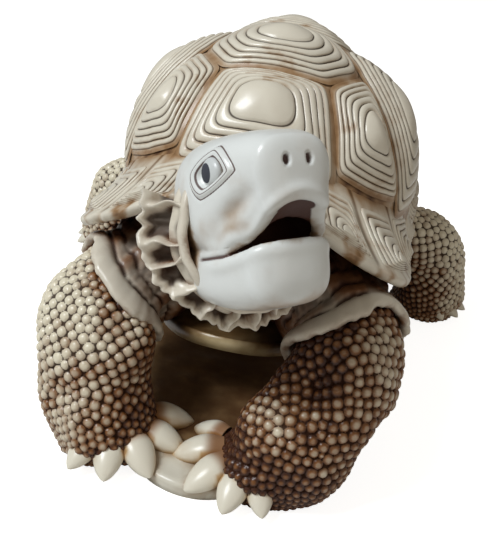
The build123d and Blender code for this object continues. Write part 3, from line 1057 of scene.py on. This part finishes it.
def joined(body, steps, voxel):
    """Adds and cuts rough forms, then lays an even skin over the result; returns points and faces."""
    for operation, other in steps:
        modifier = body.modifiers.new(other.name, "BOOLEAN")
        modifier.operation = operation
        modifier.solver = "EXACT"
        modifier.object = other
    skin = body.modifiers.new("skin", "REMESH")
    skin.mode = "VOXEL"
    skin.voxel_size = voxel
    soft = body.modifiers.new("soft", "SMOOTH")
    soft.factor = 0.5
    soft.iterations = 9
    solved = body.evaluated_get(bpy.context.evaluated_depsgraph_get())
    clay = Clay()
    clay.points = [vertex.co.copy() for vertex in solved.data.vertices]
    clay.faces = [tuple(polygon.vertices) for polygon in solved.data.polygons]
    for rough in [body] + [other for operation, other in steps]:
        bpy.data.objects.remove(rough)
    return clay


def depth_inside(sections, blunt, point):
    """How far a point lies under the skin of a head form."""
    first, last = sections[0][0], sections[-1][0]
    ahead = -point.y
    half, middle, tall = section_at(sections, ahead)
    wide = abs(point.x) / half
    high = abs(point.z - middle) / tall
    share = (wide**SQUARENESS + high**SQUARENESS) ** (1 / SQUARENESS)
    beyond = max(ahead - last, first - ahead, 0.0) / blunt
    share /= max(1 - beyond**2, 0.01) ** 0.4
    return min((1 - share) * min(half, tall), last + blunt - ahead, ahead - first + blunt)


def lid_share(point):
    """Leaning almond round an eye: 1 at the eye's edge, more in the lids."""
    up = point.z - EYE.z
    across = EYE.y - point.y - (0.5 if up < 0 else 0.1) * up - 0.4
    return ((abs(across) / 2.15) ** 1.35 + (abs(up) / 1.75) ** 1.35) ** (1 / 1.35)


def sculpted_head():
    """Head with an open mouth, cheek hollows, lidded eyes and nostrils."""
    skull = rough_object(head_form(SKULL, SNOUT_ROUND), "skull")
    jaw = rough_object(head_form(JAW, JAW_ROUND), "jaw")
    mouth = rough_object(mouth_form(), "mouth")
    steps = [("UNION", jaw), ("DIFFERENCE", mouth), ("DIFFERENCE", palate_form())]
    clay = joined(skull, steps, 0.21)
    normals = skin_normals(clay)
    lids = []
    darks = []
    tints_and_shade = []
    for i, point in enumerate(clay.points):
        ahead = -point.y
        lid = lid_share(point) if abs(point.x) > 3.5 else 9.0
        push = 0.0
        if lid < 3:
            push += 0.3 * peak(lid, 1.3, 0.3) - 0.5 * ease(1.05, 0.7, lid)
            push -= 0.16 * peak(lid, 1.66, 0.1)
        cheek = peak(ahead, 8.0, 2.6) * peak(point.z, 0.2 + 0.6 * (ahead - 8.0), 1.4)
        cheek *= ease(2.5, 4.5, abs(point.x))
        push -= 0.9 * cheek
        under = max(depth_inside(SKULL, SNOUT_ROUND, point), depth_inside(JAW, JAW_ROUND, point))
        outside = ease(0.75, 0.4, under)
        above = point.z - upper_lip(ahead, point.x)
        below = along_curve(LOWER_LIP, ahead) - point.z
        roll = peak(above, 0.9, 0.75) + 0.6 * peak(below, 0.9, 0.8)
        push += 0.42 * roll * outside * ease(1.0, 5.0, ahead)
        crease = blend(along_curve(UPPER_LIP, ahead), along_curve(LOWER_LIP, ahead), 0.5)
        crease -= 0.1 * max(UPPER_LIP[0][0] - ahead, 0.0)
        corner = peak(point.z, crease, 0.24) * ease(0.6, 1.8, ahead) * ease(8.0, 6.5, ahead)
        corner *= ease(3.0, 5.0, abs(point.x))
        push -= 0.3 * corner
        nostril = sqrt(((abs(point.x) - NOSTRIL.x) / 0.45) ** 2 + ((point.z - NOSTRIL.z) / 0.72) ** 2)
        hole = ease(1.1, 0.6, nostril) if ahead > 9 else 0.0
        push -= 0.6 * hole
        clay.points[i] = point + normals[i] * push
        lids.append(min(lid, 9.0))
        # Dark mouth, nostril holes and mouth corners: the mouth's dark lining together with painted shade in
        # the mouth, the holes and the creases
        darks.append(max(1 - outside, hole, corner))
        # Tan mottling, tan over the lips and in the cheek hollows, and painted shade under the jaw
        mottle = 0.16 * ease(0.0, 0.5, noise.noise(point * 0.22)) + 0.2 * ease(-8.5, -12.0, point.z)
        over_lip = peak(above, 2.0, 0.7) * outside
        over_lip *= ease(4.0, 6.0, ahead) * ease(10.0, 8.0, ahead)
        tints_and_shade.append(0.34 * cheek + mottle + 0.25 * over_lip)
    clay.masks["lid"] = lids
    clay.masks["dark"] = darks
    clay.masks["shade"] = tints_and_shade
    clay.points = [HEAD_PLACE @ point for point in clay.points]
    return clay


def eye_bead(side):
    """Eye with its round pupil."""

    def place(share, turn):
        out = pi * share
        ahead = 2.1 * sin(out) * cos(turn)
        up = 1.75 * sin(out) * sin(turn)
        point = Vector((side * (EYE.x + 0.25 + 0.95 * cos(out)), EYE.y - ahead, EYE.z + up))
        pupil = sqrt((ahead / 1.15) ** 2 + (up / 1.12) ** 2) + (0.0 if cos(out) > 0 else 3.0)
        return HEAD_PLACE @ point, {"pupil": pupil}

    return Clay().add_skin(shares(24), turns(36), place, turned=side < 0)


def neck_frill():
    """Torn skin between the collar and its outer band: thin pale walls with dark pockets between them."""
    count = 520
    across = 22
    back = Vector((0, 1, 0))

    def place(step, column):
        share = min(step / (across - 1), 1.0)
        under = max(step - across + 1, 0) / 7
        turn = radians(blend(-205.0, 15.0, column / (count - 1)))
        side = ease(radians(-120.0), radians(-185.0), turn)
        ragged = noise_at(turn * 6.0, share * 2.2, 3.0)
        wave = 20.0 * turn + 3.4 * noise_at(turn * 2.4, 0.0, 1.0) + 2.6 * ragged
        wall = (0.5 + 0.5 * cos(wave)) ** 2.2
        torn = 0.3 * noise_at(turn * 5.0, 5.0, 0.0)
        torn += 0.22 * noise_at(turn * 14.0, 5.0, 0.0)
        width = blend(2.3, 3.4, side) * (1 + torn)
        lean = blend(2.4, 4.6, side)
        out = Vector((cos(turn), 0, sin(turn)))
        rise = (out * lean - back * width).normalized()
        pocket = (1 - wall) * ease(0.0, 0.16, share) * ease(1.0, 0.8, share)
        band = 0.55 * peak(share, 0.93, 0.07)
        height = band + 0.5 * wall * sin(pi * share) - 1.7 * pocket + 0.6 * ragged * share
        base = Vector((9.3 * cos(turn), -0.1, -2.6 + 10.1 * sin(turn)))
        point = base + out * (width * share) + back * (lean * share) + rise * (height - 1.6 * under)
        point += (back + out) * (0.35 * sin(pi * under))
        groove = 0.75 * ease(0.3, 0.8, pocket) + 0.35 * ease(0.0, 0.5, under)
        return HEAD_PLACE @ point, {"groove": groove}

    return Clay().add_skin(range(across + 7), range(count), place, closed=False, turned=True)


def hood():
    """Cup of skin behind the head: a collar of two rolls with a brown groove between them."""
    profile = [(blend(-9.6, 0.4, share), 0.0) for share in shares(29)]
    for share in shares(7)[1:]:
        turn = pi * share
        profile.append((0.4 + 0.55 * sin(turn), -0.5 * (1 - cos(turn))))
    profile += [(-1.0, -1.0), (-4.0, -1.0)]

    def place(step, column):
        ahead, sink = step
        outside = sink == 0
        turn = radians(blend(35.0, -215.0, column))
        size = sqrt(max(1 - (ahead / 10.6) ** 2, 0.02))
        ripple = 0.3 * noise_at(turn * 4, ahead * 0.3, 2.0)
        groove = 0.9 * ease(0.5, -0.4, ahead)
        if outside:
            ripple += 0.45 * peak(ahead, -1.75, 0.6) - 0.3 * peak(ahead, -0.75, 0.35)
            worn = 0.6 + 0.6 * noise_at(turn * 6, 1.0, 0.0)
            groove = worn * peak(ahead, -0.75, 0.3)
        wide = (9.6 * size + sink + ripple) * cos(turn)
        tall = (10.4 * size + sink + ripple) * sin(turn)
        sway = 0.5 * noise_at(turn * 2.5, 7.0, 0.0)
        return HEAD_PLACE @ Vector((wide, -ahead - sway, -2.6 + tall)), {"groove": groove}

    return Clay().add_skin(profile, shares(199), place, closed=False, turned=True)


def ground_slab():
    """Thin slab under the feet with a worn top and a rounded upper edge."""
    around = []
    for x, y, radius in SLAB_CIRCLES:
        around += [Vector((x + radius * cos(turn), y + radius * sin(turn))) for turn in turns(120)]
    corners = [around[i] for i in geometry.convex_hull_2d(around)]
    outline = []
    for near, far in sides(corners):
        count = max(1, round((far - near).length / 0.6))
        outline += [near.lerp(far, i / count) for i in range(count)]
    if turns_left(corners):
        outline = outline[::-1]
    profile = [(i / 60, SLAB_THICKNESS) for i in range(59)]
    for i in range(7):
        turn = pi / 2 * i / 6
        height = SLAB_THICKNESS - SLAB_EDGE_RADIUS * (1 - cos(turn))
        profile.append((0.972 + 0.028 * sin(turn), height))
    profile += [(1.0, 0.8), (1.0, 0.0), (0.5, 0.0), (0.0, 0.0)]

    def place(step, corner):
        share, height = step
        spot = SLAB_CENTRE.lerp(corner, share)
        worn = 0.22 * noise_at(spot.x * 0.3, spot.y * 0.3, 0)
        worn *= ease(0.2, SLAB_THICKNESS, height)
        # Painted shade under the body: browner towards the rear, away from the slab's edge
        brown = 0.75 * ease(-40.0, -32.0, spot.y) * ease(1.0, 0.75, share)
        return Vector((spot.x, spot.y, height + min(worn, 0.0))), {"shade": brown}

    return Clay().add_skin(profile, outline, place)


def node_copy(node, name, paint, slot, wrinkle=0.0):
    """Piece with the shape of a solid, its long edges split for the stain, and wrinkles to a depth."""
    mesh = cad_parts[node].data.copy()
    mesh.name = name
    mesh.transform(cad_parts[node].matrix_world)
    grooves = []
    with reshaped(mesh) as shape:
        bmesh.ops.remove_doubles(shape, verts=shape.verts, dist=0.003 * MM)
        for length in (8, 4, 2, 1) if wrinkle else (8, 4, 2):
            long = [edge for edge in shape.edges if edge.calc_length() > length * MM]
            bmesh.ops.subdivide_edges(shape, edges=long, cuts=1)
            bmesh.ops.triangulate(shape, faces=shape.faces)
        shape.normal_update()
        for vertex in shape.verts:
            place = vertex.co / MM
            fold = noise_at(place.x * 0.25, place.y * 0.3, place.z * 0.55)
            fold += 0.4 * noise.noise(place * 0.9)
            grooves.append(0.8 * peak(fold, 0, 0.09) if wrinkle else 0.0)
            vertex.co -= vertex.normal * (wrinkle * grooves[-1] * MM)
    mesh.attributes.new("groove", "FLOAT", "POINT").data.foreach_set("value", grooves)
    return shown(mesh, name, paint, slot, node)


def pieces_tree():
    """All the pieces, for finding what lies over a place."""
    points = []
    faces = []
    for piece in made:
        first = len(points)
        points += [vertex.co for vertex in piece.data.vertices]
        faces += [tuple(first + i for i in polygon.vertices) for polygon in piece.data.polygons]
    return BVHTree.FromPolygons(points, faces)


def sphere_directions(count):
    """Directions spread evenly over a ball."""
    directions = []
    for i in range(count):
        up = 1 - 2 * (i + 0.5) / count
        turn = pi * (1 + sqrt(5)) * i
        flat = sqrt(1 - up * up)
        directions.append(Vector((flat * cos(turn), flat * sin(turn), up)))
    return directions


def find_hollows(piece, tree, directions, every):
    """Stores how shut in each point is, from a share of the points and their neighbours; the paints darken by
    it, as wash and painted shade in hollows, under things and between parts.
    """
    mesh = piece.data
    sample = range(0, len(mesh.vertices), every)
    near = kdtree.KDTree(len(sample))
    values = []
    reach = 13.0 * MM
    clear_of_skin = 0.7 * MM
    for index, i in enumerate(sample):
        vertex = mesh.vertices[i]
        normal = vertex.normal
        start = vertex.co + normal * clear_of_skin
        total = 0.0
        shut = 0.0
        for direction in directions:
            weight = direction.dot(normal)
            if weight > 0.1:
                total += weight
                hit = tree.ray_cast(start, direction, reach)[3]
                if hit is not None:
                    shut += weight * (1 - hit / reach) ** 0.7
        values.append(shut / total)
        near.insert(vertex.co, index)
    near.balance()
    hollow = []
    for vertex in mesh.vertices:
        total = 0.0
        shut = 0.0
        for place, index, distance in near.find_n(vertex.co, 4):
            weight = 1 / (distance + 0.1 * MM)
            total += weight
            shut += weight * values[index]
        hollow.append(shut / total)
    mesh.attributes.new("hollow", "FLOAT", "POINT").data.foreach_set("value", hollow)


def area_light(name, place, target, size, power, tint):
    """Soft square lamp aimed at a place."""
    data = bpy.data.lights.new(name, "AREA")
    data.size = size
    data.energy = power
    data.color = tint
    aim = (Vector(target) - Vector(place)).to_track_quat("-Z", "Y")
    linked(name, data).matrix_world = Matrix.Translation(place) @ aim.to_matrix().to_4x4()


def photo_camera():
    """Camera at the photograph's angle: low in front, a little to the animal's left, rolled."""
    turn = radians(7.0)
    rise = radians(28.5)
    roll = radians(8.0)
    distance = 125 * MM
    focal_pixels = 750.0
    photo_height = 543.0
    target = Vector((0.8, -12.0, 20.0)) * MM
    back = Vector((sin(turn) * cos(rise), -cos(turn) * cos(rise), sin(rise)))
    right = Vector((0, 0, 1)).cross(back).normalized()
    up = back.cross(right)
    across = right * cos(roll) + up * sin(roll)
    upright = up * cos(roll) - right * sin(roll)
    data = bpy.data.cameras.new("photo_camera")
    data.sensor_width = 36.0
    data.lens = data.sensor_width * focal_pixels / photo_height
    data.clip_start = 0.001
    camera = linked("photo_camera", data)
    turned = Matrix((across, upright, back)).transposed().to_4x4()
    camera.matrix_world = Matrix.Translation(target + back * distance) @ turned
    bpy.context.scene.camera = camera


def white_floor():
    """Pale floor that shows white to the camera with a faint shadow."""
    mesh = bpy.data.meshes.new("floor")
    with reshaped(mesh) as shape:
        bmesh.ops.create_grid(shape, x_segments=1, y_segments=1, size=3.0)
    floor = linked("floor", mesh)
    material = bpy.data.materials.new("floor_paint")
    material.use_nodes = True
    paint = Paint(material.node_tree)
    seen = paint.node("ShaderNodeLightPath").outputs["Is Camera Ray"]
    looks = {
        "Base Color": (0.75, 0.74, 0.72, 1),
        "Roughness": 0.9,
        "Emission Color": (1, 1, 1, 1),
        "Emission Strength": paint.math("MULTIPLY", seen, 0.86),
    }
    paint.fill(material.node_tree.nodes["Principled BSDF"].inputs, looks)
    mesh.materials.append(material)


def studio():
    """White surroundings and soft lamps, the stronger one at the upper left."""
    world = bpy.data.worlds.new("studio")
    bpy.context.scene.world = world
    world.use_nodes = True
    paint = Paint(world.node_tree)
    seen = paint.node("ShaderNodeLightPath").outputs["Is Camera Ray"]
    looks = {
        "Color": paint.mix(seen, (1.0, 0.92, 0.8, 1), (1, 1, 1, 1)),
        "Strength": paint.math("MULTIPLY_ADD", seen, 0.79, 0.21),
    }
    paint.fill(world.node_tree.nodes["Background"].inputs, looks)
    area_light("key_light", (-0.23, -0.16, 0.36), (0, -0.01, 0.03), 0.16, 1.5, (0.92, 0.965, 1.0))
    area_light("fill_light", (0.30, -0.30, 0.22), (0, -0.01, 0.02), 0.25, 0.2, (1.0, 0.9, 0.78))
    bpy.context.scene.view_settings.view_transform = "Standard"


finished(scute_shield(), "shell_scutes", PAINT["shell"], "shell", "carapace")
finished(rim_skin(), "shell_rim", PAINT["shell"], "shell", "carapace")
finished(dome_wall(), "shell_wall", PAINT["shell"], "shell", "carapace")

for seed, (name, bends) in enumerate(LEGS.items()):
    kind = name.split("_")[0]
    bearings, circle, length, width = CLAWS[kind]
    toes = foot_place(bends, bearings, circle)
    skin = beaded_limb(bends, LEG_RADII[kind], LEG_GRIDS[kind], BULGES[name], toes, BROWN_AND_SHADE[name], seed)
    leg = finished(skin, name + "_beads", PAINT["bead"], "beaded_skin", name + "_leg")
    level_sole(leg, SOLE_HEIGHT)
    finished(claw_set(toes, length, width), name + "_horn", PAINT["claw"], "claw", name + "_claws")
for side, (leg_name, start, outer_end, inner_end, seed) in SHOULDER_FOLDS.items():
    cuff = leg_cuff(LEGS[leg_name], LEG_RADII["front"], start, outer_end, inner_end, seed)
    finished(cuff, side + "_shoulder_fold", PAINT["skin"], "skin", side + "_shoulder_skin")
tail = beaded_limb(TAIL, TAIL_RADII, TAIL_GRID, [], [], 0.1, 9, TAIL_PEBBLE_RADIUS)
finished(tail, "tail_beads", PAINT["bead"], "beaded_skin", "tail")

finished(sculpted_head(), "head_carving", PAINT["head"], "ivory", "head")
for side, name in ((1, "left_eye"), (-1, "right_eye")):
    finished(eye_bead(side), name + "_bead", PAINT["eye"], "eye", name)
finished(hood(), "neck_hood", PAINT["skin"], "skin", "neck_skin")
finished(neck_frill(), "neck_frill", PAINT["skin"], "skin", "neck_skin")

node_copy("trunk", "trunk_core", PAINT["recess"], "skin", 0.3)
node_copy("neck", "neck_core", PAINT["recess"], "skin", 0.4)
node_copy("plastron", "belly_shield", PAINT["belly"], "base")
finished(ground_slab(), "ground_slab", PAINT["base"], "base", "base_plate")

# Painted shade, with the wash: each piece darkens where the pieces shut it in
tree = pieces_tree()
directions = sphere_directions(56)
for piece in made:
    find_hollows(piece, tree, directions, 12 if len(piece.data.vertices) > 6000 else 2)

photo_camera()
white_floor()
studio()
